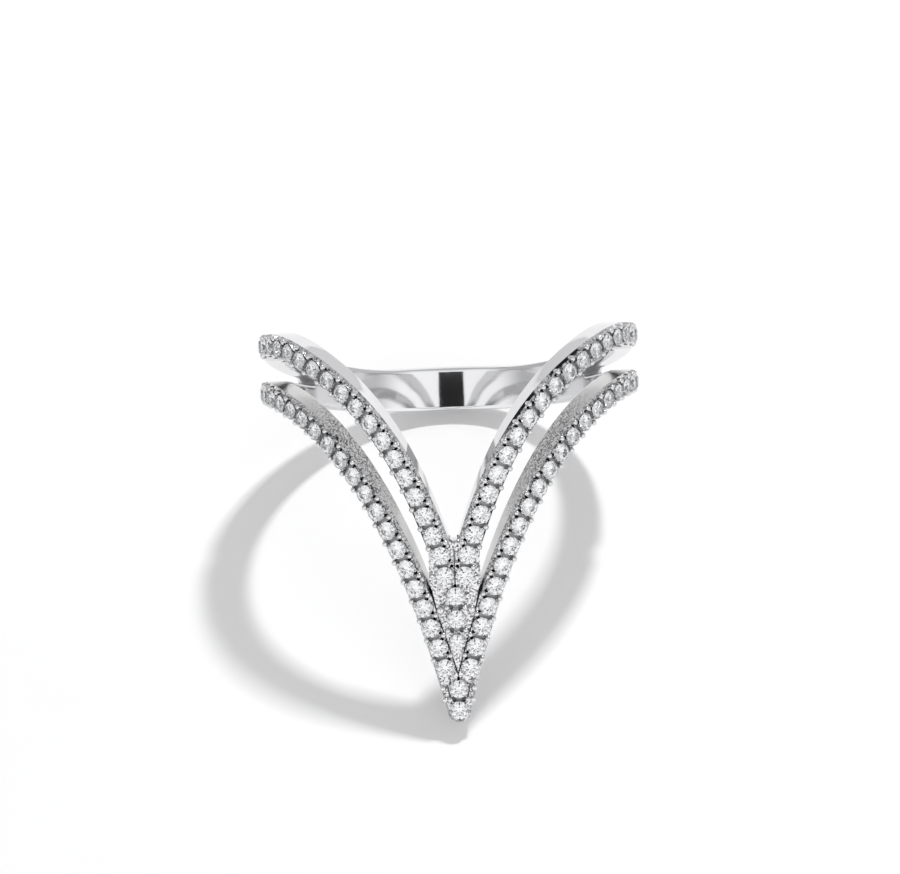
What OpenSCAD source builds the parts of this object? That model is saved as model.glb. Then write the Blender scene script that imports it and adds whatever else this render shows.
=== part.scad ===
// Double chevron ring. A plain band splits at each shoulder into two arms, and the arms meet at the front
// as two nested chevrons, each set with one row of small round brilliants between shared claws.
// The ring is built standing round the Z axis with both points down and its front towards -Y. It is then
// leant back until it lies as it rests by itself, on the outer point and the edge of the band's back.
// A drop is measured down from the middle of the back, and a rise is measured up from it.
// An angle goes round the finger from the chevrons' points, 0, to the middle of the back, 180.

/* [Band] */
// Diameter of the finger hole
bore_d = 17.4; // [17:0.1:18.4]
// Width of each arm; the back of the band is two arms wide
arm_w = 1.24; // [1.2:0.02:1.3]
// Thickness of the arms under the stones
arm_t = 1.25; // [1.2:0.05:1.35]
// Thickness of the plain band where the rows of stones end
side_t = 1.6; // [1.5:0.05:1.7]
// Thickness of the plain band at the middle of the back
back_t = 1.25; // [1.15:0.05:1.4]

// Angle from the chevrons' points to where the band splits into arms
split_angle = 121; // [114:1:128]

/* [Outer chevron] */
// Drop of the arms' centreline at the point
outer_drop = 14.6; // [14.3:0.1:15.4]
// Rise that the centreline climbs towards at the sides
outer_rise = 3.05; // [2.7:0.05:3.4]
// Angle in which the climb slows to 1/e
outer_climb = 25; // [23:0.5:27]
// Angle where the arms begin to ease into the back
outer_ease = 22; // [18:1:30]
// Distance along an arm from its point to its first stone
outer_first = 2.52; // [2.45:0.01:2.6]
// Radius of the rounded end of the outer chevron
point_r = 0.64; // [0.62:0.01:0.68]

/* [Inner chevron] */
// Drop of the arms' centreline at the point
inner_drop = 8.55; // [8.3:0.05:8.8]
// Rise that the centreline climbs towards at the sides
inner_rise = 4.93; // [4.6:0.05:5.2]
// Angle in which the climb slows to 1/e
inner_climb = 21.3; // [20.3:0.5:22.3]
// Angle where the arms begin to ease into the back
inner_ease = 50; // [45:1:56]
// Distance along an arm from its point to its first stone
inner_first = 1.26; // [1.2:0.01:1.32]
// Angle either side of the point where the wedge below it fills the gap between the chevrons
wedge_angle = 7.6; // [7:0.1:8]

/* [Stones] */
// Diameter of each stone
stone_d = 0.9; // [0.84:0.01:0.9]
// Diameter of the smaller stone in the foot of the wedge
foot_stone_d = 0.76; // [0.7:0.01:0.8]
// Distance from stone to stone along a row
stone_pitch = 1.1; // [1.08:0.01:1.14]
// Drop of the lowest stone, at the outer point
tip_stone = 14.4; // [14.3:0.02:14.5]
// Drop of the first of the three stones on the wedge
wedge_stone = 8.41; // [8.36:0.02:8.44]
// Distance between the stones on the wedge
wedge_pitch = 1.2; // [1.18:0.01:1.22]
// Distance between the two stones at the outer point
tip_pitch = 1.12; // [1.1:0.01:1.16]
// Angle where the rows of stones end
row_end = 86; // [82:1:88]
// Clearance of a girdle above the arm that carries it
girdle_lift = 0.19; // [0.17:0.01:0.22]

/* [Hidden] */
$fn = 180;

bore_r = bore_d / 2;
arm_r = bore_r + arm_t;                     // outer surface of the arms
side_r = bore_r + side_t;
back_r = bore_r + back_t;
weld = 0.06;                                // overlap of the two arms at the middle of the back
plain_angle = row_end + 3;                  // the plain band starts here
back_ease = [170, 164];                     // angles where the outer and inner arms are fully eased in
mm_per_degree = arm_r * PI / 180;

// Columns of a chevron's row of sizes
DROP = 0;
RISE = 1;
CLIMB = 2;
EASE_FROM = 3;
EASE_TO = 4;
HOME = 5;
FIRST = 6;
home = (arm_w - weld) / 2;
outer = [outer_drop, outer_rise, outer_climb, outer_ease, back_ease[0], -home, outer_first];
inner = [inner_drop, inner_rise, inner_climb, inner_ease, back_ease[1], home, inner_first];

// Proportions of a brilliant, in diameters
table_ratio = 0.56;
crown_ratio = 0.16;
girdle_ratio = 0.03;
pavilion_ratio = 0.43;
facets = 8;

// Seat drilled under each stone, and the claws between the stones
seat_r = 0.36;
seat_depth = 0.36;
claw_r = 0.13;
claw_h = 0.33;
claw_root = 0.3;
claw_inset = 0.02;
stone_gap = 0.12;

// Centreline of an arm: an exponential climb from the point that eases into its half of the back

function smooth(t) = let (u = min(1, max(0, t))) u * u * (3 - 2 * u);
function eased(c, a) = smooth((a - c[EASE_FROM]) / (c[EASE_TO] - c[EASE_FROM]));
function centre(c, a) =
    let (w = eased(c, a)) (1 - w) * (c[RISE] - (c[DROP] + c[RISE]) * exp(-a / c[CLIMB])) + w * c[HOME];
function slope(c, a) = (centre(c, a + 0.1) - centre(c, a - 0.1)) / (0.2 * mm_per_degree);
function stretch(c, a) = sqrt(1 + pow(slope(c, a), 2));
function edge(c, a, side) = centre(c, a) + side * arm_w / 2 * stretch(c, a);

// Edges of the two chevrons: the outer one ends in a round point. The inner one has the wedge below its point,
// and from the split to the back it is one with the outer one.

point_a = point_r / mm_per_degree;
point_z = edge(outer, point_a, -1);
function round_point(a) = point_z - sqrt(pow(point_r, 2) - pow(a * mm_per_degree, 2));
function outer_foot(a) = a < point_a ? max(edge(outer, a, -1), round_point(a)) : edge(outer, a, -1);
function inner_foot(a) = a < wedge_angle || a > split_angle ? centre(outer, a) : edge(inner, a, -1);

// Stations round the finger: evenly over the wedge, further and further apart along the arms, and evenly again
// from the split to the back
wedge_steps = 10;
arm_steps = 36;
arm_bias = 1.3;
back_steps = 10;
wall = 0.05;                                // angle taken by the wall that ends the wedge or the split
half = concat([for (i = [0:wedge_steps]) (wedge_angle - wall) * i / wedge_steps],
    [for (i = [0:arm_steps]) wedge_angle + (split_angle - wedge_angle) * pow(i / arm_steps, arm_bias)],
    [for (i = [0:back_steps]) split_angle + wall + (180 - split_angle - wall) * i / back_steps]);
last = len(half) - 1;
stations = concat([for (i = [last:-1:1]) -half[i]], [for (i = [0:last - 1]) half[i]]);

// Closed ring of radial walls; each row of edges is [angle, lower height, upper height]
module radial_ring(edges) {
    r_in = bore_r - 1;
    r_out = bore_r + 3;
    n = len(edges);
    function at(r, a, z) = [r * sin(a), -r * cos(a), z];
    corners = [for (e = edges)
        each [at(r_in, e[0], e[1]), at(r_out, e[0], e[1]), at(r_out, e[0], e[2]), at(r_in, e[0], e[2])]];
    sides = [for (i = [0:n - 1], k = [0:3])
        let (j = (i + 1) % n, m = (k + 1) % 4)
        each [[4 * i + k, 4 * i + m, 4 * j + k], [4 * i + m, 4 * j + m, 4 * j + k]]];
    polyhedron(corners, sides, convexity = 8);
}

// Blank for the casting: the thin sleeve of the arms and the thicker plain band behind the rows
module blank() {
    tall = 60;
    plain_r = (side_r * side_r + back_r * back_r) / (2 * back_r);
    difference() {
        union() {
            cylinder(h = tall, r = arm_r, center = true);
            intersection() {
                translate([0, back_r - plain_r, 0]) cylinder(h = tall, r = plain_r, center = true);
                translate([-tall / 2, -arm_r * cos(plain_angle), -tall / 2]) cube(tall);
            }
        }
        cylinder(h = tall + 1, r = bore_r, center = true);
    }
}

// Puts a child on the arms' surface, upright on it, at an angle and height
module on_surface(a, z, r) {
    rotate([0, 0, a]) translate([0, -r, z]) rotate([90, 0, 0]) children();
}

// Distance along a row, as pairs of distance and angle
function travel(c) = [for (a = 0, s = 0; a <= row_end + 2;
    s = s + 0.5 * mm_per_degree * stretch(c, a + 0.25), a = a + 0.5) [s, a]];
function row(c, start) = let (t = travel(c), last = lookup(row_end, [for (p = t) [p[1], p[0]]]))
    [for (s = start; s <= last; s = s + stone_pitch) lookup(s, t)];

// Stones of an arm: the first pair stands side by side where the row would bring them together
least_angle = (stone_d + stone_gap) / 2 / mm_per_degree;
function arm_stones(c) = [for (a = row(c, c[FIRST])) [max(a, least_angle), centre(c, a)]];
function mirrored(places) = concat(places, [for (p = places) [-p[0], p[1]]]);
outer_places = concat([for (i = [0:1]) [0, i * tip_pitch - tip_stone]], mirrored(arm_stones(outer)));
wedge_places = [for (i = [0:2]) [0, -wedge_stone - i * wedge_pitch]];
foot_place = wedge_places[2];
inner_places = concat(wedge_places, mirrored(arm_stones(inner)));

// Claws stand in pairs across the row, halfway between two stones
claw_out = arm_w / 2 - claw_r - claw_inset;
function beside(c, a, side) = let (k = slope(c, a), n = stretch(c, a))
    [a - side * claw_out * k / n / mm_per_degree, centre(c, a) + side * claw_out / n];
function arm_claws(c) = [for (a = row(c, c[FIRST] + stone_pitch / 2), side = [-1, 1]) beside(c, a, side)];
claw_places = concat(mirrored(arm_claws(outer)), mirrored(arm_claws(inner)));

// Round brilliant with its girdle's lower edge at z = 0
module brilliant(d) {
    girdle_r = d / 2;
    rotate([0, 0, 180 / facets])
        rotate_extrude($fn = facets)
            polygon([[0, -pavilion_ratio * d], [girdle_r, 0], [girdle_r, girdle_ratio * d],
                [girdle_r * table_ratio, (girdle_ratio + crown_ratio) * d],
                [0, (girdle_ratio + crown_ratio) * d]]);
}

// One stone at each place, all with their tables at the same height
function diameter(p) = p == foot_place ? foot_stone_d : stone_d;
module stones(places) {
    for (p = places)
        let (d = diameter(p), sunk = (girdle_ratio + crown_ratio) * (stone_d - d))
        on_surface(p[0], p[1], arm_r + girdle_lift + sunk) brilliant(d);
}

// Lays the ring down on the inner edge of its point and the lower edge of its back
foot_drop = -round_point(0);
back_drop = home + arm_w / 2;
lean = atan((foot_drop - back_drop) / (bore_r + back_r));
front_y = -arm_r * cos(lean) - foot_drop * sin(lean);
back_y = back_r * cos(lean) + back_drop * sin(lean);
foot_z = bore_r * sin(lean) - foot_drop * cos(lean);
module laid() {
    translate([0, -(front_y + back_y) / 2, -foot_z]) rotate([-lean, 0, 0]) children();
}

module band() {
    color("silver") laid() {
        difference() {
            union() {
                intersection() {
                    blank();
                    union() {
                        radial_ring([for (a = stations) let (b = abs(a)) [a, outer_foot(b), edge(outer, b, 1)]]);
                        radial_ring([for (a = stations) let (b = abs(a)) [a, inner_foot(b), edge(inner, b, 1)]]);
                    }
                }
                for (p = claw_places)
                    on_surface(p[0], p[1], arm_r - claw_root) cylinder(h = claw_root + claw_h, r = claw_r, $fn = 24);
            }
            for (p = concat(inner_places, outer_places))
                on_surface(p[0], p[1], arm_r - seat_depth) cylinder(h = seat_depth + 1, r = seat_r, $fn = 24);
        }
    }
}

module inner_stones() {
    color("white") laid() stones(inner_places);
}

module outer_stones() {
    color("white") laid() stones(outer_places);
}

band();
inner_stones();
outer_stones();
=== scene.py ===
# %% [markdown]
# # A double chevron ring
#
# This notebook dresses a CAD model of a silver ring so that it looks like the real one. The ring is a plain
# band that splits at each shoulder into two arms. The arms meet at the front as two nested points, and each
# arm carries a row of small round stones.
#
# The first cell loads the CAD parts, which give the true place and size of everything.

# %% Load the CAD ring
import math
import bmesh
import bpy
from mathutils import Matrix, Vector


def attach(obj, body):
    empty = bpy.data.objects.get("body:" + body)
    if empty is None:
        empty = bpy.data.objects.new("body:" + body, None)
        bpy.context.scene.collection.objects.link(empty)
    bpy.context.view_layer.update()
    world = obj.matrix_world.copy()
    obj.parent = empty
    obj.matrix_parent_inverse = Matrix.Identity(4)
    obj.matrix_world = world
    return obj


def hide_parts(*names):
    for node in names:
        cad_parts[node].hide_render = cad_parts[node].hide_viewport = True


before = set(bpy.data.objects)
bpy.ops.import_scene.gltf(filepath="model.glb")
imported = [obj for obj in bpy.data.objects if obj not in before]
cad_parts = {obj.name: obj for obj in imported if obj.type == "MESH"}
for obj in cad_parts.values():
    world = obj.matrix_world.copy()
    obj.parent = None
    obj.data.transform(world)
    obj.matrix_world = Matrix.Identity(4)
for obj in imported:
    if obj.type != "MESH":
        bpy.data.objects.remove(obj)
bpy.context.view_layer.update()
MM = 0.001
scene = bpy.context.scene
print("CAD nodes:", sorted(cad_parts))

# %% [markdown]
# ## The ring's own measures
#
# A jeweller draws such a ring flat, as a pattern that is bent round a mandrel. A point on the pattern has an
# angle round the finger, 0 at the chevrons' points and 180 at the middle of the back, and a height along the
# finger, 0 at the middle of the back. Each arm's centreline climbs from its point, quickly at first and then
# ever more slowly, and eases into its half of the plain back.
#
# The shape could be traced over the CAD model, but the formula that the model follows is shorter, and what is
# built from it lands where the CAD is. It is in millimetres and degrees.

# %% Measures in millimetres and degrees
BORE_R = 8.7  # finger hole
ARM_R = 9.95  # outer surface of the arms
SIDE_R = 10.3  # outer surface of the plain band beside the finger
BACK_R = 9.95  # outer surface at the middle of the back
HALF_W = 0.62  # half of an arm's width
WELD = 0.06  # overlap of the two arms at the middle of the back
ROW_END = 86.0  # angle where the rows of stones end
PLAIN_FROM = 89.0  # angle where the plain band begins
SPLIT = 121.0  # angle where the slit between two arms ends
WEDGE = 7.6  # angle up to which the wedge fills the space between the chevrons
POINT_R = 0.64  # rounded end of the outer chevron
PITCH = 1.1  # from stone to stone along a row
STONE_D = 0.9
FOOT_STONE_D = 0.76  # the smaller stone in the foot of the wedge
GIRDLE_LIFT = 0.19  # a stone's girdle stands this far above the arm
HOME = (2 * HALF_W - WELD) / 2
MM_PER_DEGREE = ARM_R * math.pi / 180
NUDGE = 0.1  # a slope is measured this many degrees to both sides

# A chevron's centreline starts at -drop and climbs towards rise, slowed to 1/e within the angle climb. It
# eases into its home on the back between the angles from and to. Its first stone lies at the distance first.
OUTER = {"drop": 14.6, "rise": 3.05, "climb": 25.0, "from": 22.0, "to": 170.0, "home": -HOME, "first": 2.52}
INNER = {"drop": 8.55, "rise": 4.93, "climb": 21.3, "from": 50.0, "to": 164.0, "home": HOME, "first": 1.26}


def smooth(t):
    t = min(1.0, max(0.0, t))
    return t * t * (3 - 2 * t)


def centre(arm, a):
    """Height of an arm's centreline at an angle."""
    w = smooth((a - arm["from"]) / (arm["to"] - arm["from"]))
    climb = arm["rise"] - (arm["drop"] + arm["rise"]) * math.exp(-a / arm["climb"])
    return (1 - w) * climb + w * arm["home"]


def slope(arm, a):
    return (centre(arm, a + NUDGE) - centre(arm, a - NUDGE)) / (2 * NUDGE * MM_PER_DEGREE)


def stretch(arm, a):
    """Length along an arm for each millimetre round the finger."""
    return math.sqrt(1 + slope(arm, a) ** 2)


def edge(arm, a, side, inset=0.0):
    """Height of an arm's edge at an angle, inset across the arm."""
    return centre(arm, a) + side * (HALF_W - inset) * stretch(arm, a)


POINT_Z = edge(OUTER, POINT_R / MM_PER_DEGREE, -1)
print("the outer point ends", round(POINT_R - POINT_Z, 2), "mm below the middle of the back")

# %% [markdown]
# ## How the ring lies
#
# The pattern stands upright round the Z axis with its points down. The finished ring lies on a table as a
# real one does: it leans back until it rests on its point and on the lower edge of its back. All could be
# modelled leaning, but upright the angles and heights are easy to name, and one matrix then turns each
# finished piece into its place on the table.

# %% From upright to lying down
foot_drop = POINT_R - POINT_Z
back_drop = HOME + HALF_W
LEAN = math.atan((foot_drop - back_drop) / (BORE_R + BACK_R))
front_y = -ARM_R * math.cos(LEAN) - foot_drop * math.sin(LEAN)
back_y = BACK_R * math.cos(LEAN) + back_drop * math.sin(LEAN)
foot_z = BORE_R * math.sin(LEAN) - foot_drop * math.cos(LEAN)
LAID = Matrix.Translation((0, -(front_y + back_y) / 2, -foot_z)) @ Matrix.Rotation(-LEAN, 4, "X")
TO_METRES = Matrix.Scale(MM, 4)
print("the ring leans", round(math.degrees(LEAN), 2), "degrees")

# %% [markdown]
# ## The camera
#
# The camera looks at the front of the ring, a little down into the finger hole, from about 15 cm away through
# a long lens. It could be placed by eye over the table. Here it is set against the upright ring, where its
# angles are easy to read, and it goes down with the ring.

# %% Camera
CAMERA_AIM = (-0.073, -0.214, -1.538)
CAMERA_DISTANCE = 148.5
CAMERA_DOWN = math.radians(7.89)
CAMERA_ROLL = math.radians(-2.03)
CAMERA_YAW = math.radians(0.46)
LENS_MM = 108.96
SENSOR_MM = 36
NEAREST_M = 0.01

look = Matrix.Translation(CAMERA_AIM) @ Matrix.Rotation(CAMERA_YAW, 4, "Z")
look = look @ Matrix.Rotation(math.pi / 2 - CAMERA_DOWN, 4, "X")
look = look @ Matrix.Rotation(CAMERA_ROLL, 4, "Z") @ Matrix.Translation((0, 0, CAMERA_DISTANCE))
camera_data = bpy.data.cameras.new("camera")
camera = bpy.data.objects.new("camera", camera_data)
scene.collection.objects.link(camera)
scene.camera = camera
camera_data.lens = LENS_MM
camera_data.sensor_width = SENSOR_MM
camera_data.sensor_fit = "HORIZONTAL"
camera_data.clip_start = NEAREST_M
camera_place = LAID @ look
camera.matrix_world = (Matrix.Translation(camera_place.to_translation() * MM)
                       @ camera_place.to_3x3().normalized().to_4x4())
print("camera height above the table:", round(camera_place.to_translation().z, 1), "mm")

# %% [markdown]
# ## Materials
#
# The ring is sterling silver, cast in one piece and plated with rhodium. Wheels polish its broad faces to a
# mirror. Every place that they can't reach keeps the mark of another tool or process, so the one metal has
# seven finishes here, and each is a material of its own. Two of them are darker greys painted as shade: in
# the creases, pits and graver's lines, and in the drilled holes. The stones are cubic zirconia.
#
# Pictures of metal could be wrapped round the ring, but nodes have no seams, and their patterns can be sized
# in millimetres. One helper adds any node, with its settings and links.

# %% Node helper and colours
def linear(hex_colour):
    """An sRGB hex colour as the linear values that the shaders use."""
    values = [int(hex_colour[i:i + 2], 16) / 255 for i in (1, 3, 5)]
    return [v / 12.92 if v <= 0.04045 else ((v + 0.055) / 1.055) ** 2.4 for v in values] + [1.0]


def named_socket(sockets, name):
    """The socket in use that has a name. A Mix node has one of each name for every type of data."""
    return next(s for s in sockets if s.enabled and s.name == name)


def add_node(material, kind, settings=None, inputs=None):
    """Adds a node, sets its properties, and sets or links its inputs, which go by name or by number."""
    node = material.node_tree.nodes.new(kind)
    for name, value in (settings or {}).items():
        setattr(node, name, value)
    for name, value in (inputs or {}).items():
        socket = named_socket(node.inputs, name) if isinstance(name, str) else node.inputs[name]
        if isinstance(value, bpy.types.NodeSocket):
            material.node_tree.links.new(value, socket)
        else:
            socket.default_value = value
    return node


def new_material(name):
    material = bpy.data.materials.new(name)
    material.use_nodes = True
    material.node_tree.nodes.clear()
    print("material:", name)
    return material


def set_ramp(node, dark, light, ends=(0.0, 1.0)):
    """Gives a colour ramp its two colours, and the ends between which they blend."""
    for stop, colour, end in zip(node.color_ramp.elements, (dark, light), ends):
        stop.color, stop.position = linear(colour), end


# %% [markdown]
# ### Polished, rhodium-plated silver
#
# Rhodium is a white, slightly grey mirror. Polishing by hand on felt wheels leaves a faint waviness and very
# fine hairlines. Both are far too shallow to model, so a broad noise bends the reflections a little, and a
# fine noise varies how sharp they are.

# %% Polished, rhodium-plated silver
WAVE_MM, WAVE_HEIGHT_MM = 1.6, 0.02
# Real hairlines are a few micrometres wide. They are drawn coarser, so that they show.
HAIRLINE_MM = 0.12

# To the eye it is a clean white mirror, a little wavy, with reflections that are soft at their edges.
silver = new_material("rhodium_plated_silver")
coords = add_node(silver, "ShaderNodeTexCoord")
waves = add_node(silver, "ShaderNodeTexNoise", inputs={
    "Vector": coords.outputs["Object"], "Scale": 1 / (WAVE_MM * MM), "Detail": 1.0})
hairlines = add_node(silver, "ShaderNodeTexNoise", inputs={
    "Vector": coords.outputs["Object"], "Scale": 1 / (HAIRLINE_MM * MM), "Detail": 2.0})
roughness = add_node(silver, "ShaderNodeMapRange", inputs={
    "Value": hairlines.outputs["Fac"], "To Min": 0.03, "To Max": 0.1})
bump = add_node(silver, "ShaderNodeBump", inputs={
    "Height": waves.outputs["Fac"], "Strength": 0.25, "Distance": WAVE_HEIGHT_MM * MM})
shader = add_node(silver, "ShaderNodeBsdfPrincipled", inputs={
    "Base Color": linear("#DEDEDF"), "Metallic": 1.0, "Roughness": roughness.outputs["Result"],
    "Normal": bump.outputs["Normal"]})
add_node(silver, "ShaderNodeOutputMaterial", inputs={"Surface": shader.outputs["BSDF"]})

# %% [markdown]
# ### The skin of the casting, and painted shade in its recesses
#
# Silver comes out of its plaster mould with a dull, sandy skin. It stays in the creases beside the wedge, in
# the pits between the wedge's stones and in the graver's lines. There its dark grey is also painted shade,
# which stands for the shade in these recesses. Its grains are smaller than a pixel, so a noise in two greys
# stands for them.

# %% Cast silver skin, a dark grey painted as shade in the recesses
# Plaster's grains are about a third of this. They are drawn coarser, so that they show.
GRAIN_MM = 0.08


def mottled_finish(name, mottle_mm, detail, dark, light, metallic, roughness):
    """A finish that wavers between two tones."""
    material = new_material(name)
    coords = add_node(material, "ShaderNodeTexCoord")
    mottle = add_node(material, "ShaderNodeTexNoise", inputs={
        "Vector": coords.outputs["Object"], "Scale": 1 / (mottle_mm * MM), "Detail": detail})
    tone = add_node(material, "ShaderNodeValToRGB", inputs={"Fac": mottle.outputs["Fac"]})
    set_ramp(tone, dark, light)
    shader = add_node(material, "ShaderNodeBsdfPrincipled", inputs={
        "Base Color": tone.outputs["Color"], "Metallic": metallic, "Roughness": roughness})
    add_node(material, "ShaderNodeOutputMaterial", inputs={"Surface": shader.outputs["BSDF"]})
    return material


# To the eye it is a dull mid grey that mirrors nothing: the cast skin, darkened as painted shade in the
# recesses. Part of its light is scattered, as off a powder, so it isn't fully metallic.
recess = mottled_finish("cast_silver_skin", GRAIN_MM, 3.0, "#6A6A6C", "#A4A4A6", metallic=0.6, roughness=0.55)

# %% [markdown]
# ### Matt silver, and painted shade in the holes
#
# Two finishes are found only in small recesses. The slots between the stones, and the end of each slit, are
# sawn and then pickled in acid, which leaves a fine frost. The drilled holes are painted black as the shade
# inside them. Both areas are a pixel or two wide, where a pattern wouldn't be seen, so each is plain.

# %% Matt silver, and black painted as shade in the holes
def plain_finish(name, colour, metallic, roughness):
    """A finish without a pattern."""
    material = new_material(name)
    shader = add_node(material, "ShaderNodeBsdfPrincipled", inputs={
        "Base Color": linear(colour), "Metallic": metallic, "Roughness": roughness})
    add_node(material, "ShaderNodeOutputMaterial", inputs={"Surface": shader.outputs["BSDF"]})
    return material


# To the eye this is a pale frost: most of its light is scattered, and little of it is mirrored.
satin = plain_finish("matt_silver", "#BABABC", 0.3, 0.5)
# This black is painted shade inside each hole: to the eye it is soft, and it makes each hole look deep.
oxide = plain_finish("oxidised_silver", "#1C1C1E", 0.0, 0.7)

# %% [markdown]
# ### Silver worked by hand
#
# The setter raises and trims the metal round each stone with gravers, and then burnishes the arms' edges. A
# graver leaves bright cuts at all angles, and a burnisher leaves soft dents. Cutting each mark into the mesh
# would take far too many faces. A Voronoi texture gives the same look: it splits the surface into small
# cells, and each cell gets a tone of its own and a hollow of its own.

# %% Graved silver and burnished silver
# A graver's cut is about half as wide. It is drawn coarser, so that it shows.
TOOL_MARK_MM = 0.08


def worked_silver(name, dark, light, roughness, hollow_mm):
    """Silver covered with tool marks, in tones from dark to light and with hollows of a depth."""
    material = new_material(name)
    coords = add_node(material, "ShaderNodeTexCoord")
    marks = add_node(material, "ShaderNodeTexVoronoi", inputs={
        "Vector": coords.outputs["Object"], "Scale": 1 / (TOOL_MARK_MM * MM)})
    tone = add_node(material, "ShaderNodeValToRGB", inputs={"Fac": marks.outputs["Color"]})
    set_ramp(tone, dark, light, (0.2, 0.62))
    bump = add_node(material, "ShaderNodeBump", {"invert": True}, {
        "Height": marks.outputs["Distance"], "Strength": 1.0, "Distance": hollow_mm * MM})
    shader = add_node(material, "ShaderNodeBsdfPrincipled", inputs={
        "Base Color": tone.outputs["Color"], "Metallic": 1.0, "Roughness": roughness,
        "Normal": bump.outputs["Normal"]})
    add_node(material, "ShaderNodeOutputMaterial", inputs={"Surface": shader.outputs["BSDF"]})
    return material


# To the eye graved metal glitters, light and dark, and burnished metal is an uneven mirror.
graved = worked_silver("graved_silver", "#626264", "#ECECED", roughness=0.25, hollow_mm=0.02)
burnished = worked_silver("burnished_silver", "#88888A", "#E4E4E5", roughness=0.05, hollow_mm=0.0005)

# %% [markdown]
# ### Tumbled silver
#
# No wheel fits into the slits, so the ring is tumbled with small grit, which smooths their walls. It works
# well where a slit is wide and hardly at all where the walls are close, and there the cast skin still shows
# as pits. One material could be painted rough in places by hand. Here the distance from the ring's middle
# tells how rough the wall is, so the change is smooth and the same on both sides.

# %% Tumbled silver in the slits
GRIT_MM, PIT_HEIGHT_MM = 0.075, 0.03
ROUGH_FROM_MM, ROUGH_TO_MM = 2.3, 4.3
SMOOTH_FROM_MM, SMOOTH_TO_MM = 6.1, 7.3

# To the eye it is a soft, pale sheen that breaks up into dark and light specks over the middle of each slit.
tumbled = new_material("tumbled_silver")
coords = add_node(tumbled, "ShaderNodeTexCoord")
grit = add_node(tumbled, "ShaderNodeTexVoronoi", inputs={
    "Vector": coords.outputs["Object"], "Scale": 1 / (GRIT_MM * MM)})
axes = add_node(tumbled, "ShaderNodeSeparateXYZ", inputs={"Vector": coords.outputs["Object"]})
sideways = add_node(tumbled, "ShaderNodeMath", {"operation": "ABSOLUTE"}, {0: axes.outputs["X"]})
getting_rough = add_node(tumbled, "ShaderNodeMapRange", inputs={
    "Value": sideways.outputs["Value"], "From Min": ROUGH_FROM_MM * MM, "From Max": ROUGH_TO_MM * MM})
pitted = add_node(tumbled, "ShaderNodeMapRange", inputs={
    "Value": sideways.outputs["Value"], "From Min": SMOOTH_FROM_MM * MM, "From Max": SMOOTH_TO_MM * MM,
    "To Min": getting_rough.outputs["Result"], "To Max": 0.0})
specks = add_node(tumbled, "ShaderNodeValToRGB", inputs={"Fac": grit.outputs["Color"]})
set_ramp(specks, "#4E4E50", "#E2E1E0", (0.15, 0.75))
colour = add_node(tumbled, "ShaderNodeMix", {"data_type": "RGBA"}, {
    "Factor": pitted.outputs["Result"], "A": linear("#CBCAC9"), "B": specks.outputs["Color"]})
bump = add_node(tumbled, "ShaderNodeBump", {"invert": True}, {
    "Height": grit.outputs["Distance"], "Strength": pitted.outputs["Result"], "Distance": PIT_HEIGHT_MM * MM})
shader = add_node(tumbled, "ShaderNodeBsdfPrincipled", inputs={
    "Base Color": named_socket(colour.outputs, "Result"), "Metallic": 1.0, "Roughness": 0.2,
    "Normal": bump.outputs["Normal"]})
add_node(tumbled, "ShaderNodeOutputMaterial", inputs={"Surface": shader.outputs["BSDF"]})

# %% [markdown]
# ### Cubic zirconia
#
# The stones are a clear synthetic crystal with a high index of refraction, 2.15, cut and polished on a wheel.
# A painted white material would look flat from the side. Glass with the true index sends the light round
# between the facets as the real stone does, so its sparkle comes from its shape.

# %% Cubic zirconia
# To the eye it is colourless, bright in the middle and dark in places towards its edge. A real facet is
# sharper: the roughness stands for the haze of fine polishing lines.
zirconia = new_material("cubic_zirconia")
shader = add_node(zirconia, "ShaderNodeBsdfPrincipled", inputs={
    "Base Color": linear("#FBFCFD"), "Roughness": 0.08, "IOR": 2.15, "Transmission Weight": 1.0})
add_node(zirconia, "ShaderNodeOutputMaterial", inputs={"Surface": shader.outputs["BSDF"]})

# %% [markdown]
# ## The casting
#
# The band and its four arms are one casting. They could be swept along four paths and joined, but such joints
# are hard to get clean. Here a flat grid is laid out as the jeweller's pattern, with one column of points for
# each angle round the finger and one row for each line along the arms. The faces in the open slits are
# deleted. Then the sheet is extruded inwards in steps down to the finger hole, and each step can draw the
# edges in a little, which rounds them.
#
# The columns stand closest where the outline turns most: at the notch between the inner arms and at the
# rounded ends of the slits.

# %% Columns of the pattern
SEAM = 0.06  # degrees for the small step up to the thicker plain band
SPLIT_ROUND = 2.6  # degrees for the rounded end of a slit
NOTCH_R = 0.23  # round bottom of the notch between the inner arms
NOTCH_A = NOTCH_R / MM_PER_DEGREE

# Each stretch of columns has the angle where it ends, its number of columns, and a power: below 1, the
# columns crowd towards its end.
STRETCHES = [(NOTCH_A, 8, 1), (WEDGE, 17, 1), (30.0, 32, 1), (PLAIN_FROM - SEAM, 56, 1), (PLAIN_FROM, 1, 1),
             (SPLIT - SPLIT_ROUND, 22, 1), (SPLIT, 10, 0.6), (180.0, 28, 1)]
half = [0.0]
for end, count, power in STRETCHES:
    start = half[-1]
    half += [start + (end - start) * (i / count) ** power for i in range(1, count + 1)]
ANGLES = [-a for a in half[:0:-1]] + half
print(len(ANGLES), "columns")

# %% [markdown]
# Seven rows lie across each arm. Two more between the arms make the fine crease on both sides of the wedge,
# where the inner chevron was let into the outer one. Towards the slit the crease opens into a deep slot.

# %% Rows of the pattern and the crease
SHARES = (0.0, 0.12, 0.3, 0.5, 0.7, 0.88, 1.0)
ARM_ROWS = len(SHARES)
CREASE_ROWS = 2
ROWS = 2 * ARM_ROWS + CREASE_ROWS
CREASE_FLOOR = ARM_ROWS
CREASE_FROM, CREASE_TO = 5.0, 7.2
CREASE_OUT = (0.49, HALF_W)
CREASE_HALF_W = (0.03, 0.075)
CREASE_DEPTH = (0.14, 0.44)
TINY = 0.001


def between(ends, share):
    """The value at a share of the way between two ends."""
    return ends[0] + (ends[1] - ends[0]) * share


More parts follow.
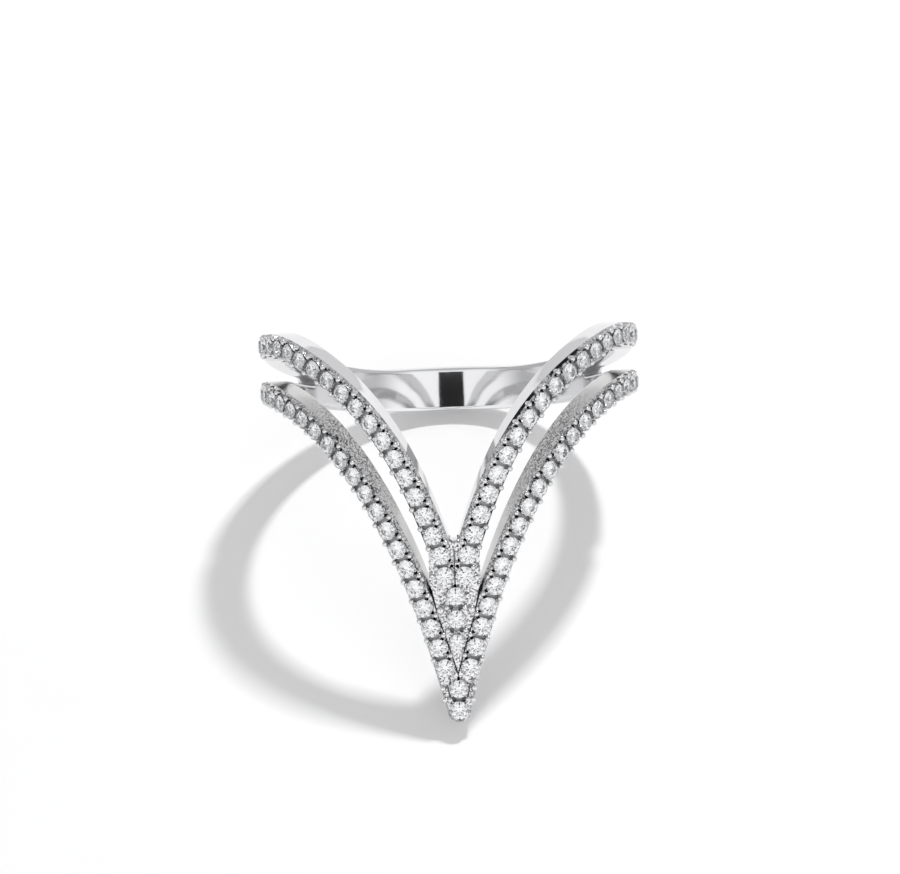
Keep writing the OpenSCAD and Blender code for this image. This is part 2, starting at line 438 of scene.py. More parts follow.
def crease(a):
    """The crease's place across the outer arm, its half width and its depth."""
    opened = smooth((a - CREASE_FROM) / (CREASE_TO - CREASE_FROM))
    return between(CREASE_OUT, opened), between(CREASE_HALF_W, opened), between(CREASE_DEPTH, opened)


def on_wedge(a):
    return a < WEDGE + TINY


print(ROWS, "rows")


# %% Heights of the rows
def slit_edges(a, inset):
    """Heights of the slit's lower and upper edge. At the split they meet in a rounded crotch."""
    if on_wedge(a):
        out, wide, _ = crease(a)
        return centre(OUTER, a) + (out - wide) * stretch(OUTER, a), edge(INNER, a, -1)
    low, high = edge(OUTER, a, 1, inset), edge(INNER, a, -1, inset)
    middle = (edge(OUTER, a, 1) + edge(INNER, a, -1)) / 2
    into_round = max(0.0, a - (SPLIT - SPLIT_ROUND)) / SPLIT_ROUND
    open_share = math.sqrt(max(0.0, 1 - into_round ** 2))
    return middle - (middle - low) * open_share, middle + (high - middle) * open_share


NOTCH_Z = edge(INNER, 0, 1) + NOTCH_R * stretch(INNER, 0)


def rounded(line, a, r, z):
    """Height of an edge that a circle rounds off at the middle line. The circle's centre is at z."""
    x = a * MM_PER_DEGREE
    return line if x >= r else max(line, z - math.sqrt(r * r - x * x))


def heights(a, inset):
    """The height of every row at an angle, from the ring's lower edge to its upper edge."""
    low, high = slit_edges(a, inset)
    foot = rounded(edge(OUTER, a, -1, inset), a, POINT_R - inset, POINT_Z)
    head = rounded(edge(INNER, a, 1, inset), a, NOTCH_R + inset, NOTCH_Z)
    middle_rows = [low, low]
    if on_wedge(a):
        out, wide, _ = crease(a)
        middle_rows = [centre(OUTER, a) + v * stretch(OUTER, a) for v in (out, out + wide)]
    return ([between((foot, low), s) for s in SHARES] + middle_rows
            + [between((high, head), s) for s in SHARES])


print("the notch's round bottom lies", round(NOTCH_R - NOTCH_Z, 2), "mm below the middle of the back")

# %% [markdown]
# The arms are flat across, and the plain band is domed. Where an edge is drawn in, it leaves a bevel: a wide
# one on the arms, and a narrow one on the plain band. Behind the split the finger hole opens a little towards
# the band's upper edge, which makes the ring easier to pull on.

# %% Radii of the surfaces
DOME, DOME_POWER = 0.22, 2.5
EDGE_BEVEL, BAND_BEVEL = 0.12, 0.04
BEVEL_FROM, BEVEL_OVER = 95.0, 25.0
ONE_BEFORE, ONE_OVER = 6.0, 30.0
FLARE, FLARE_CURVE = 0.2, 0.06


def plain_r(a):
    """Outer surface of the plain band: a circle that is thicker at the sides than at the back."""
    r = (SIDE_R ** 2 + BACK_R ** 2) / (2 * BACK_R)
    off = BACK_R - r
    c = -math.cos(math.radians(a)) * off
    return c + math.sqrt(r * r - off * off + c * c)


def oneness(a):
    """0 where there are two arms and 1 where they have become one band, behind the split."""
    return smooth((a - SPLIT + ONE_BEFORE) / ONE_OVER)


def top_radius(a, row, zs):
    """Radius of the outer surface: flat arms in front, the crease beside the wedge, a domed band behind."""
    if a < PLAIN_FROM - SEAM / 2:
        return ARM_R - crease(a)[2] if row == CREASE_FLOOR and on_wedge(a) else ARM_R
    first, last = (0, ARM_ROWS - 1) if row < ARM_ROWS else (ARM_ROWS + CREASE_ROWS, ROWS - 1)
    own_middle, own_half = (zs[first] + zs[last]) / 2, (zs[last] - zs[first]) / 2
    all_middle, all_half = (zs[0] + zs[-1]) / 2, (zs[-1] - zs[0]) / 2
    in_arm, in_band = abs(zs[row] - own_middle) / own_half, abs(zs[row] - all_middle) / all_half
    return plain_r(a) - DOME * between((in_arm, in_band), oneness(a)) ** DOME_POWER


def flare(a, share):
    """How much the finger hole opens at a share of the way up to the band's upper edge."""
    return oneness(a) * (FLARE * share + FLARE_CURVE * share ** 2)


def bevel_share(a):
    """How much of the arms' edge bevel is left at an angle."""
    return between((1, BAND_BEVEL / EDGE_BEVEL), smooth((a - BEVEL_FROM) / BEVEL_OVER))


def at(angle, r, z):
    return Vector((r * math.sin(math.radians(angle)), -r * math.cos(math.radians(angle)), z))


print("plain band:", round(plain_r(PLAIN_FROM) - BORE_R, 2), "mm thick where it begins")

# %% [markdown]
# ### Helpers for editing
#
# An operator works on all that is selected, and the CAD parts come in selected, so these helpers select one
# object at a time. Others copy a model, join its copies, and put a finished piece's place into its mesh, as
# the CAD parts have it.

# %% Helpers for editing
def deselect():
    bpy.ops.object.select_all(action="DESELECT")


def activate(obj):
    deselect()
    obj.select_set(True)
    bpy.context.view_layer.objects.active = obj


def bake_place(obj, matrix):
    """Puts an object's place into its mesh, in metres, and leaves the object at the origin."""
    obj.data.transform(TO_METRES @ matrix)
    obj.matrix_world = Matrix.Identity(4)
    obj.data.update()


def copy_to(model, matrix):
    piece = model.copy()
    piece.data = model.data.copy()
    scene.collection.objects.link(piece)
    piece.data.transform(matrix)
    return piece


def join(pieces, name):
    deselect()
    for p in pieces:
        p.select_set(True)
    bpy.context.view_layer.objects.active = pieces[0]
    bpy.ops.object.join()
    joined = bpy.context.object
    joined.name = name
    return joined


# %% [markdown]
# ### Laying out the pattern
#
# The grid's points keep their column's angle and their row as an attribute, so they can still be told apart
# after they have been extruded. Each layer of the casting then gets its place from them.

# %% Lay out the pattern
deselect()
bpy.ops.mesh.primitive_grid_add(x_subdivisions=len(ANGLES) - 1, y_subdivisions=ROWS - 1, size=2)
casting = bpy.context.object
casting.name = "ring_casting"
place = casting.data.attributes.new("place", "FLOAT_VECTOR", "POINT")
for v in casting.data.vertices:
    column = round((v.co.x + 1) / 2 * (len(ANGLES) - 1))
    row = round((v.co.y + 1) / 2 * (ROWS - 1))
    place.data[v.index].vector = (ANGLES[column], row, 0)
    v.select = True


def shape_layer(inset, radius=None, depth=0.0):
    """Moves the selected points to a layer of the casting, with its edges drawn in by inset. The layer lies
    at a radius, or else at a depth below the edge of the outer surface."""
    where = casting.data.attributes["place"].data
    for v in casting.data.vertices:
        if not v.select:
            continue
        angle, row = where[v.index].vector[0], round(where[v.index].vector[1])
        a, share = abs(angle), bevel_share(abs(angle))
        zs = heights(a, inset if radius else inset * share)
        if depth:
            edge_row = row if row == CREASE_FLOOR else (0 if row < ARM_ROWS else ROWS - 1)
            r = top_radius(a, edge_row, zs) - depth * share
        elif radius:
            r = radius + flare(a, (zs[row] - zs[0]) / (zs[-1] - zs[0]))
        else:
            r = top_radius(a, row, zs)
        v.co = at(angle, r, zs[row])
    casting.data.update()


shape_layer(EDGE_BEVEL)
print("points in the outer surface:", len(casting.data.vertices))

# %% [markdown]
# The first extrusion brings the edges out again, which makes the bevel. Two more steps down the walls keep
# their shading even, and the last three round the edges of the finger hole.

# %% Open the slits and extrude to the finger hole
WALL_DEPTHS = (EDGE_BEVEL, 0.33, 0.55)
INSIDE_ROUND = 0.1
QUARTER = 1 - math.sqrt(0.5)
MERGE = 0.0004
LAYERS = [(0.0, None, depth) for depth in WALL_DEPTHS] + [
    (0.0, BORE_R + INSIDE_ROUND, 0.0), (INSIDE_ROUND * QUARTER, BORE_R + INSIDE_ROUND * QUARTER, 0.0),
    (INSIDE_ROUND, BORE_R, 0.0)]


def faces_the_slit(rows):
    """Whether all of a face's rows lie on the edges of the slit or between them."""
    return min(rows) >= ARM_ROWS - 1 and max(rows) <= ARM_ROWS + CREASE_ROWS


bpy.ops.object.mode_set(mode="EDIT")
bpy.ops.mesh.select_mode(type="FACE")
work = bmesh.from_edit_mesh(casting.data)
layer = work.verts.layers.float_vector["place"]
for f in work.faces:
    middle_angle = sum(abs(v[layer].x) for v in f.verts) / len(f.verts)
    f.select_set(faces_the_slit([round(v[layer].y) for v in f.verts]) and WEDGE < middle_angle < SPLIT)
bmesh.update_edit_mesh(casting.data)
bpy.ops.mesh.delete(type="FACE")
bpy.ops.mesh.select_all(action="SELECT")
bpy.ops.mesh.remove_doubles(threshold=MERGE)
bpy.ops.mesh.select_all(action="SELECT")
for inset, radius, depth in LAYERS:
    bpy.ops.mesh.extrude_region()
    bpy.ops.object.mode_set(mode="OBJECT")
    shape_layer(inset, radius, depth)
    bpy.ops.object.mode_set(mode="EDIT")
bpy.ops.mesh.select_all(action="SELECT")
bpy.ops.mesh.remove_doubles(threshold=MERGE)
bpy.ops.mesh.dissolve_degenerate(threshold=MERGE)
bpy.ops.mesh.normals_make_consistent(inside=False)
bpy.ops.mesh.select_all(action="DESELECT")
bpy.ops.mesh.select_mode(type="VERT")
bpy.ops.mesh.select_non_manifold()
bpy.ops.object.mode_set(mode="OBJECT")
print("casting faces:", len(casting.data.polygons), "open or doubled points:",
      sum(v.select for v in casting.data.vertices))

# %% [markdown]
# ### Which finish goes where
#
# A finish could be given by picking faces by hand. Each face still knows its rows and angles, so a few rules
# find the same faces on both sides: the slits' walls, the creases, the arms' tops and their bevels. The rest
# of the casting is polished.

# %% Finish of the casting's faces
FINISHES = (silver, recess, tumbled, graved, burnished, satin)
# The cast finish is the cast skin's dark grey, painted as shade in the creases and pits
POLISHED, CAST, TUMBLED, GRAVED, BURNISHED, MATT = range(len(FINISHES))
WALL_DROP = 0.2  # a face of a wall goes down by more than this
WALL_FROM = WEDGE - 0.5
CROTCH_FROM = 115.0
NEAR = 0.01  # radii this close count as the same


def finish_of(rows, angles, radii):
    """The finish of a face, from the rows, angles and radii of its corners."""
    slit_wall = faces_the_slit(rows) and max(radii) - min(radii) > WALL_DROP
    if slit_wall and min(angles) > CROTCH_FROM:
        return MATT
    if slit_wall and WALL_FROM < min(angles) and max(angles) < PLAIN_FROM:
        return TUMBLED
    # The crease's floor beside the wedge gets the dark cast skin as painted shade
    if CREASE_FLOOR in rows and on_wedge(max(angles)) and max(radii) > ARM_R - NEAR:
        return CAST
    if min(radii) > ARM_R - EDGE_BEVEL - NEAR and max(angles) < ROW_END:
        return GRAVED if min(radii) > ARM_R - NEAR else BURNISHED
    return POLISHED


for finish in FINISHES:
    casting.data.materials.append(finish)
where = casting.data.attributes["place"].data
for polygon in casting.data.polygons:
    rows = [round(where[i].vector[1]) for i in polygon.vertices]
    angles = [abs(where[i].vector[0]) for i in polygon.vertices]
    radii = [casting.data.vertices[i].co.xy.length for i in polygon.vertices]
    polygon.material_index = finish_of(rows, angles, radii)
casting.data.attributes.remove(casting.data.attributes["place"])
found = [p.material_index for p in casting.data.polygons]
print("faces of each finish:", {m.name: found.count(i) for i, m in enumerate(FINISHES)})

# %% [markdown]
# ## Where the stones sit
#
# An array modifier could string stones along a curve, but it wouldn't stop at the arm's end or lift the first
# pair apart. So the places are counted off along each arm at an even pitch, as a setter marks them with
# dividers. The distance along an arm is summed in small steps. The claws stand halfway between two stones, on
# both sides of the row.

# %% Places along the rows
STONE_GAP = 0.12  # between the two stones nearest to a point
LEAST_ANGLE = (STONE_D + STONE_GAP) / 2 / MM_PER_DEGREE
STEP = 0.05  # degrees
SIDES = (1, -1)


def row_angles(arm, start):
    """Angles of the places along an arm, one pitch apart."""
    found, s, a, target = [], 0.0, 0.0, start
    while a <= ROW_END:
        ds = STEP * MM_PER_DEGREE * stretch(arm, a + STEP / 2)
        while s + ds >= target and a + STEP <= ROW_END:
            found.append(a + STEP * (target - s) / ds)
            target += PITCH
        s, a = s + ds, a + STEP
    return found


def stone_places(arm):
    """Angle and height of each stone."""
    return [(side * max(a, LEAST_ANGLE), centre(arm, a))
            for a in row_angles(arm, arm["first"]) for side in SIDES]


def gap_places(arm):
    """Angle, height and turn of each gap between two stones."""
    return [(side * a, centre(arm, a), side * math.degrees(math.atan(slope(arm, a))))
            for a in row_angles(arm, arm["first"] + PITCH / 2) for side in SIDES]


# The two stones at the outer point, and the three on the wedge, stand in columns
TIP_Z, TIP_PITCH = -14.4, 1.12
WEDGE_Z, WEDGE_PITCH = -8.41, 1.2
UPRIGHT = 90.0  # the turn of a gap in a column
tip_places = [(0, TIP_Z), (0, TIP_Z + TIP_PITCH)]
wedge_places = [(0, WEDGE_Z), (0, WEDGE_Z - WEDGE_PITCH)]
FOOT = (0, WEDGE_Z - 2 * WEDGE_PITCH)
inner_places = wedge_places + stone_places(INNER)
outer_places = tip_places + stone_places(OUTER)
column_gaps = [(0, WEDGE_Z - (i + 0.5) * WEDGE_PITCH, UPRIGHT) for i in range(2)]
column_gaps.append((0, TIP_Z + TIP_PITCH / 2, UPRIGHT))
arm_gaps = gap_places(OUTER) + gap_places(INNER)
gaps = column_gaps + arm_gaps
print("stones:", len(inner_places) + 1, "and", len(outer_places), "; gaps:", len(gaps))


def on_surface(angle, z, r):
    """Matrix that stands a piece on the pattern at an angle and height, upright on the surface."""
    return (Matrix.Rotation(math.radians(angle), 4, "Z") @ Matrix.Translation((0, -r, z))
            @ Matrix.Rotation(math.pi / 2, 4, "X"))


def in_gap(gap):
    """Matrix of a gap: its X runs along the row and its Y across it."""
    angle, z, turn = gap
    return on_surface(angle, z, ARM_R) @ Matrix.Rotation(math.radians(turn), 4, "Z")


# %% [markdown]
# ## Collets and seats
#
# Each stone sits in a collet, a low round stand that the casting carries for it. The setter drills a seat
# into every collet and saws a slot between two of them, which leaves the scalloped edges. The model is made
# in the same order: the stands are added to the casting, then seats, slots and pits are cut away.
#
# Every seat could be cut into the mesh by hand with inset and extrude, but not where collets overlap. The
# boolean modifier does that, and its manifold solver is fast and leaves a closed mesh. Tools that overlap may
# not be in one cut, so the tools are used in three turns, and two neighbours are never in the same turn.

# %% Boolean cuts in turns
TURNS = 3
UPWARDS = 0.9


def cut(tools, operation="DIFFERENCE"):
    """Cuts tools from the casting, or joins them to it, every third one at a time."""
    for turn in range(TURNS):
        group = tools[turn::TURNS]
        if not group:
            continue
        tool = join(group, "tool")
        activate(casting)
        boolean = casting.modifiers.new("cut", "BOOLEAN")
        boolean.object = tool
        boolean.operation = operation
        boolean.solver = "MANIFOLD"
        boolean.material_mode = "TRANSFER"
        bpy.ops.object.modifier_apply(modifier=boolean.name)
        bpy.data.objects.remove(tool)
    print(len(tools), "tools leave", len(casting.data.polygons), "faces")


def turned_model(name, sides, r_low, r_high, z_low, z_high, material):
    """A straight-sided turned piece along Z, to be shaped further."""
    deselect()
    bpy.ops.mesh.primitive_cone_add(vertices=sides, radius1=r_low, radius2=r_high, depth=z_high - z_low)
    model = bpy.context.object
    model.name = name
    model.data.transform(Matrix.Translation((0, 0, (z_high + z_low) / 2)))
    model.data.materials.append(material)
    return model


def edit_top(model, operator, **settings):
    """Applies an operator in edit mode to the faces of a model that look up."""
    activate(model)
    bpy.ops.object.mode_set(mode="EDIT")
    bpy.ops.mesh.select_mode(type="FACE")
    bpy.ops.mesh.select_all(action="DESELECT")
    work = bmesh.from_edit_mesh(model.data)
    for f in work.faces:
        f.select_set(f.normal.z > UPWARDS)
    bmesh.update_edit_mesh(model.data)
    operator(**settings)
    bpy.ops.object.mode_set(mode="OBJECT")


def all_stones(model):
    """Copies of a model under every stone, narrower under the smaller one."""
    narrower = Matrix.Diagonal((FOOT_STONE_D / STONE_D, FOOT_STONE_D / STONE_D, 1, 1))
    return ([copy_to(model, on_surface(a, z, ARM_R)) for a, z in inner_places + outer_places]
            + [copy_to(model, on_surface(*FOOT, ARM_R) @ narrower)])


# %% Collets
COLLET_FOOT_R, COLLET_RIM_R = 0.545, 0.5
COLLET_ROOT, COLLET_TOP = -0.3, 0.14
collet = turned_model("collet", 28, COLLET_FOOT_R, COLLET_RIM_R, COLLET_ROOT, COLLET_TOP, graved)
edit_top(collet, bpy.ops.mesh.bevel, offset=0.02, segments=2)
cut(all_stones(collet), "UNION")

# %% Seats
SEAT_FLOOR_R, SEAT_RIM_R = 0.22, 0.445
SEAT_FLOOR, SEAT_TOP = -0.24, COLLET_TOP + 0.01
DRILL_CLEAR = (0, 0, 0.5)
seat = turned_model("seat", 24, SEAT_FLOOR_R, SEAT_RIM_R, SEAT_FLOOR, SEAT_TOP, silver)
edit_top(seat, bpy.ops.mesh.extrude_region_move, TRANSFORM_OT_translate={"value": DRILL_CLEAR})
cut(all_stones(seat))

# %% [markdown]
# ### Slots, pits and holes between the stones
#
# In front, a sawn slot and a pit part each stone from the next. Towards the shoulders the setter leaves the
# metal whole. Two small holes are drilled in every gap, on the side of the ring's upper edge. They are
# modelled, and their walls are painted black as shade, because their black depth is what makes the row
# sparkle.

# %% Slots, pits and holes
SLOT_W, SLOT_LONG, SLOT_DEPTH = 0.15, 0.5, 0.08
PIT_R, PIT_OUT, PIT_DEPTH = 0.14, 0.26, 0.16
HOLE_R, HOLE_ALONG, HOLE_OUT, HOLE_DEPTH = 0.09, 0.16, 0.33, 0.35
SLOTS_TO, PITS_TO = 62.0, 52.0
TOOL_TOP = 0.6
deselect()
bpy.ops.mesh.primitive_cube_add(size=1)
slot = bpy.context.object
slot.name = "slot"
slot.data.transform(Matrix.Translation((0, 0, 0.5 - SLOT_DEPTH)) @ Matrix.Diagonal((SLOT_W, SLOT_LONG, 1, 1)))
slot.data.materials.append(satin)
pit = turned_model("pit", 20, PIT_R, PIT_R, -PIT_DEPTH, TOOL_TOP, satin)
hole = turned_model("hole", 12, HOLE_R, HOLE_R, -HOLE_DEPTH, TOOL_TOP, oxide)


def copies_in(gap_list, model, offsets):
    """Copies of a model in each gap, moved along and across the row by each of the offsets."""
    return [copy_to(model, in_gap(g) @ Matrix.Translation((*offset, 0)))
            for g in gap_list for offset in offsets]


cut(copies_in([g for g in gaps if abs(g[0]) < SLOTS_TO], slot, [(0, 0)]))
cut(copies_in([g for g in arm_gaps if abs(g[0]) < PITS_TO], pit, [(0, -PIT_OUT)]))
# The pits between the wedge's stones take the dark cast skin, painted as shade
pit.data.materials[0] = recess
cut(copies_in(column_gaps, pit, [(0, side * PIT_OUT) for side in SIDES]))
cut(copies_in(arm_gaps, hole, [(side * HOLE_ALONG, HOLE_OUT) for side in SIDES]))

# %% [markdown]
# ### Graver cuts and holes at the two points
#
# The last marks lie round the two points: a cut between the inner arms, two cuts beside the lowest stones
# with a nick at each end, and three small holes on the middle line. Both tools are the ones from above,
# stretched to each mark's size.

# %% Graver cuts and holes at the points
# Columns: place across and height, width and length, slant in degrees
LINES = [(0, -6.95, 0.07, 1.9, 0), (0.51, -13.45, 0.1, 0.76, -13), (0.8, -13.58, 0.17, 0.07, 0)]
# Columns: place across and height, radius across and along, slant
HOLES = [(0, -12.76, 0.07, 0.11, 0), (0, -7.9, 0.08, 0.1, 0), (0, -14.93, 0.05, 0.05, 0)]
SMOOTH_BELOW = math.radians(28)


def on_both_sides(rows):
    """Each row as it is and mirrored, and once where it lies on the middle line. The side comes last."""
    return [(side * row[0], *row[1:], side) for row in rows for side in (SIDES if row[0] else (1,))]


# The graver's lines at the points take the dark cast skin, painted as shade
dark_slot = copy_to(slot, Matrix.Identity(4))
dark_slot.data.materials[0] = recess


def marks(tool, own_size, rows):
    """Copies of a tool of a known size, stretched and turned to each mark."""
    placed = []
    for x, z, across, along, slant, side in on_both_sides(rows):
        size = Matrix.Diagonal((across / own_size[0], along / own_size[1], 1, 1))
        turn = Matrix.Rotation(math.radians(side * slant), 4, "Z")
        placed.append(copy_to(tool, on_surface(x / MM_PER_DEGREE, z, ARM_R) @ turn @ size))
    return placed


cut(marks(dark_slot, (SLOT_W, SLOT_LONG), LINES))
cut(marks(hole, (HOLE_R, HOLE_R), HOLES))
activate(casting)
bpy.ops.object.shade_smooth_by_angle(angle=SMOOTH_BELOW)
normals = casting.modifiers.new("normals", "WEIGHTED_NORMAL")
normals.keep_sharp = True
bpy.ops.object.modifier_apply(modifier=normals.name)
print("faces of the finished casting:", len(casting.data.polygons))

# %% [markdown]
# ## Claws
#
# A claw is a short post whose top is burnished into a round bead over the edges of two stones. A sphere on a
# cylinder would give the same look with more faces. One post is made from a cylinder whose top edge is
# bevelled until it is round, and copied.

# %% One claw
CLAW_R, CLAW_TOP, CLAW_ROOT = 0.155, 0.27, -0.29
CLAW_ROUND = 0.135
claw = turned_model("claw", 12, CLAW_R, CLAW_R, CLAW_ROOT, CLAW_TOP, silver)
edit_top(claw, bpy.ops.mesh.bevel, offset=CLAW_ROUND, segments=4, profile=0.5)
bpy.ops.object.shade_smooth_by_angle(angle=math.radians(60))
print("claw faces:", len(claw.data.polygons))

# %% [markdown]
# ## Brilliants
#
# A round brilliant has 57 facets. They could be typed in as a list of points, but a cutter grinds one facet
# after another on a flat wheel at a set angle, and a bisect does the same to a mesh. So the stone starts as a
# sixteen-sided rod, and each facet is one bisect that clears what lies outside and fills the cut. The angles
# follow from the usual proportions of such a stone, given here in diameters.

# %% Cut one brilliant
GIRDLE = 0.03
CROWN = 0.16
PAVILION = 0.43
TABLE = 0.56
RIM_R = 0.5
ROD_SIDES, ROD_LONG = 16, 1.2
STAR_SHARE = 0.6  # a star facet leans this share of a bezel facet's lean
UPPER_STEEPER = 4.5  # the facets along the girdle are this many degrees steeper, above it
LOWER_STEEPER = 1.6  # and below it
deselect()
bpy.ops.mesh.primitive_cylinder_add(vertices=ROD_SIDES, radius=RIM_R, depth=ROD_LONG, end_fill_type="NGON")
brilliant = bpy.context.object
brilliant.name = "brilliant"
first_corner = brilliant.data.vertices[0].co
brilliant.data.transform(Matrix.Rotation(-math.atan2(first_corner.y, first_corner.x), 4, "Z"))
bpy.ops.object.mode_set(mode="EDIT")

BEZEL_TILT = math.degrees(math.atan2(CROWN, RIM_R * (1 - TABLE)))
MAIN_TILT = math.degrees(math.atan2(PAVILION, RIM_R))
flat_r = RIM_R * math.cos(math.pi / ROD_SIDES)
# Each round of facets has its number, the turn of its first one against a full step, the tilt from the axis,
# a point that it goes through, as distance from the axis and height, and 1 if it looks up or -1 if down.
ROUNDS = [(8, 0, BEZEL_TILT, RIM_R, GIRDLE, 1), (1, 0, 0, 0, GIRDLE + CROWN, 1),
          (8, 0.5, STAR_SHARE * BEZEL_TILT, RIM_R * TABLE * math.cos(math.pi / 8), GIRDLE + CROWN, 1),
          (16, 0.5, BEZEL_TILT + UPPER_STEEPER, flat_r, GIRDLE, 1),
          (8, 0, MAIN_TILT, RIM_R, 0, -1), (16, 0.5, MAIN_TILT + LOWER_STEEPER, flat_r, 0, -1)]
for count, first_turn, tilt, point_r, point_z, up in ROUNDS:
    lean = math.radians(tilt)
    for k in range(count):
        d = math.radians(360 / count * (k + first_turn))
        out = Vector((math.cos(d), math.sin(d), 0))
        bpy.ops.mesh.select_all(action="SELECT")
        bpy.ops.mesh.bisect(plane_co=out * point_r + Vector((0, 0, point_z)), threshold=1e-5,
                            plane_no=out * math.sin(lean) + Vector((0, 0, up)) * math.cos(lean),
                            use_fill=True, clear_outer=True)
bpy.ops.object.mode_set(mode="OBJECT")
brilliant.data.materials.append(zirconia)
print("facets:", len(brilliant.data.polygons), "with the girdle's sixteen")

# %% [markdown]
# ## Setting the ring
#
# The claws belong to the casting, so they are joined with it. The stones of each chevron become one piece.
# Instances would be lighter, but the ring is small enough for real copies. Each stone is turned differently
# in its seat, as a setter leaves it, so that the facets don't line up.

# %% Copy the pieces to their places
CLAW_OUT = 0.46
BEAD_SINK = 0.04
# Extra beads beside the wedge and the outer point. Columns: place across and height, width against a claw's
BEADS = [(0.8, -9.15, 1.4), (0.8, -13.25, 1.1), (0.72, -13.85, 1.1)]
claw_places = [in_gap(g) @ Matrix.Translation((0, side * CLAW_OUT, 0)) for g in gaps for side in SIDES]
claws = [copy_to(claw, spot) for spot in claw_places if abs(spot.translation.x) > 2 * CLAW_R]
beads = [copy_to(claw, on_surface(x / MM_PER_DEGREE, z, ARM_R - BEAD_SINK)
                 @ Matrix.Diagonal((wide, wide, 1, 1))) for x, z, wide, _ in on_both_sides(BEADS)]
ring_band = join([casting] + claws + beads, "ring_band")
bake_place(ring_band, LAID)

FOOT_LIFT = GIRDLE_LIFT + (GIRDLE + CROWN) * (STONE_D - FOOT_STONE_D)
TURN_STEP = 37.0
GIRDLE_SPREAD = 1.04


def set_stones(places, name):
    """Brilliants at places given as angle, height, diameter and lift, as one piece."""
    pieces = []
    for i, (angle, z, d, lift) in enumerate(places):
        spin = Matrix.Rotation(math.radians(TURN_STEP * i), 4, "Z")
        size = Matrix.Diagonal((d * GIRDLE_SPREAD, d * GIRDLE_SPREAD, d, 1))
        pieces.append(copy_to(brilliant, on_surface(angle, z, ARM_R + lift) @ spin @ size))
    row = join(pieces, name)
    bake_place(row, LAID)
    return row


inner_row = set_stones([(*spot, STONE_D, GIRDLE_LIFT) for spot in inner_places]
                       + [(*FOOT, FOOT_STONE_D, FOOT_LIFT)], "brilliants_inner")
outer_row = set_stones([(*spot, STONE_D, GIRDLE_LIFT) for spot in outer_places], "brilliants_outer")
for model in (collet, seat, slot, dark_slot, pit, hole, claw, brilliant):
    bpy.data.objects.remove(model)
for piece in (ring_band, inner_row, outer_row):
    print(piece.name, "triangles:", sum(len(p.vertices) - 2 for p in piece.data.polygons))

# %% [markdown]
# Each dressed piece now takes the place of the CAD part that it stands for. It rides on the ring's one body
# and hides the plain CAD part.

# %% Put the dressed pieces in the CAD parts' places
for piece, node, finish_slot in ((ring_band, "band", "silver"), (inner_row, "inner_stones", "stone"),
                                 (outer_row, "outer_stones", "stone")):
    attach(piece, "root")
    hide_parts(node)
    print(piece.name, "stands for", node)

# %% [markdown]
# ## The table
#
# The ring lies on a sheet of matt white card, which is plain but not one flat tone: a broad, very faint
# mottle keeps it from looking empty. It could be lit until it is pure white, but a card that is a little
# darker than the light holds the ring's soft shadow.

# %% Table
TABLE_M = 3
MOTTLE_MM = 16.667
deselect()
bpy.ops.mesh.primitive_plane_add(size=TABLE_M)
table = bpy.context.object
table.name = "table"

# To the eye it is a soft white without any gloss.
paper = mottled_finish("matt_white_card", MOTTLE_MM, 2.0, "#F4F4F4", "#F9F9F9", metallic=0.0, roughness=0.6)
table.data.materials.append(paper)

# %% [markdown]
# ## The light
#
# Polished metal and clear stones show nothing but what is round them, so a jeweller's studio is a tent of
# white cloth with one lamp. Many lamps could be hung round the ring instead, but each would show as a hard
# white shape in the metal. So the world is the tent: an even white that is brighter in front, a little
# brighter low down behind, and slightly brighter on the right. One small bright panel behind the ring and to
# its right throws the soft-edged shadow to the front and left.

# %% The lamp
KEY_PLACE = (0.171, 0.322, 0.55)
KEY_SIZE = 0.055
KEY_GLOW = 233.0
key = bpy.data.lights.new("key_panel", "AREA")
key.shape = "RECTANGLE"
key.size, key.size_y = KEY_SIZE, KEY_SIZE
# The panel's power follows from its area and from how bright it looks
key.energy = KEY_GLOW * math.pi * KEY_SIZE * KEY_SIZE
panel = bpy.data.objects.new("key_panel", key)
scene.collection.objects.link(panel)
panel.location = KEY_PLACE
panel.rotation_euler = (-Vector(KEY_PLACE)).to_track_quat("-Z", "Y").to_euler()
print("the key panel gives", round(key.energy, 2), "W")

# %% The light tent
# A direction's Y is -1 in front and 1 behind, and its Z is 1 straight up. Each pair of ends is a soft edge.
FRONT_Y, FRONT_Z = (-0.35, -0.6), (0.86, 0.74)
BEHIND_Y, BEHIND_Z = (0.5, 0.8), (0.3, 0.1)
TENT_GLOW, FRONT_GLOW, BEHIND_GLOW, RIGHT_GLOW = 0.64, 0.6, 0.2, 0.06
tent = bpy.data.worlds.new("light_tent")
scene.world = tent
tent.use_nodes = True
tent.node_tree.nodes.clear()


def soft_edge(value, ends):
    """A smooth 0 to 1 from one end to the other of a range of one direction component."""
    return add_node(tent, "ShaderNodeMapRange", {"interpolation_type": "SMOOTHSTEP"}, {
        "Value": value, "From Min": ends[0], "From Max": ends[1]}).outputs["Result"]


def times(a, b, plus=0.0):
    return add_node(tent, "ShaderNodeMath", {"operation": "MULTIPLY_ADD"}, {
        0: a, 1: b, 2: plus}).outputs["Value"]


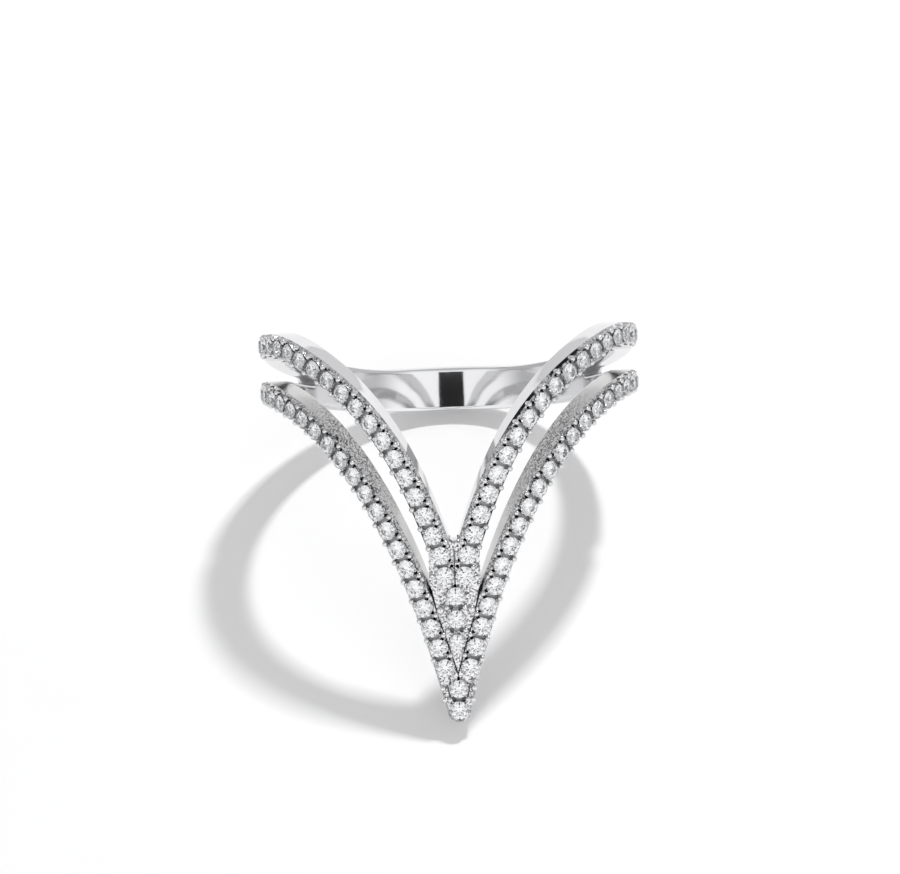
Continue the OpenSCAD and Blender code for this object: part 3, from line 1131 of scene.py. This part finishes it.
direction = add_node(tent, "ShaderNodeTexCoord").outputs["Generated"]
towards = add_node(tent, "ShaderNodeSeparateXYZ", inputs={"Vector": direction}).outputs
front = times(soft_edge(towards["Y"], FRONT_Y), soft_edge(towards["Z"], FRONT_Z))
behind = times(soft_edge(towards["Y"], BEHIND_Y), soft_edge(towards["Z"], BEHIND_Z))
level = times(front, FRONT_GLOW, times(behind, BEHIND_GLOW, times(towards["X"], RIGHT_GLOW, TENT_GLOW)))
cloth = add_node(tent, "ShaderNodeBackground", inputs={"Color": linear("#FAFAFB"), "Strength": level})
add_node(tent, "ShaderNodeOutputWorld", inputs={"Surface": cloth.outputs["Background"]})
scene.view_settings.view_transform = "Standard"
print("the tent glows from", TENT_GLOW, "to", TENT_GLOW + FRONT_GLOW)

# %% [markdown]
# ### Dark cards
#
# In an all-white tent a mirror is as white as the tent, and its shape is lost. A photographer hangs black
# cards that are seen only in the metal. Two of them in front make the dark window in the back of the band,
# and two high ones draw the edges of the shoulders. They could be painted into the metal, but only a real
# reflection moves as it should when the ring is seen from another side.

# %% Dark cards
# Black paper board: to the eye it is a flat black without any gloss.
black_card = plain_finish("matt_black_card", "#101010", 0.0, 0.9)

# Columns: name, azimuth and elevation in degrees from the front, distance, and width and height in metres
CARDS = [("card_window_left", -3.3, 41.5, 0.4, (0.105, 0.095)),
         ("card_window_right", 8.6, 41.5, 0.4, (0.03, 0.095)),
         ("card_high_left", -83, 66, 0.45, (0.075, 0.25)),
         ("card_high_right", 138, 66, 0.45, (0.07, 0.24))]


# Each card faces the ring, and the camera sees only its reflection
for name, azimuth, elevation, distance, size in CARDS:
    deselect()
    bpy.ops.mesh.primitive_plane_add(size=1)
    card = bpy.context.object
    card.name = name
    az, el = math.radians(azimuth), math.radians(elevation)
    spot = Vector((math.sin(az) * math.cos(el), -math.cos(az) * math.cos(el), math.sin(el))) * distance
    facing = (-spot).to_track_quat("Z", "Y").to_matrix().to_4x4()
    card.data.transform(Matrix.Translation(spot) @ facing @ Matrix.Diagonal((*size, 1, 1)))
    card.data.materials.append(black_card)
    card.visible_camera = False
    card.visible_shadow = False
print("dark cards:", len(CARDS))
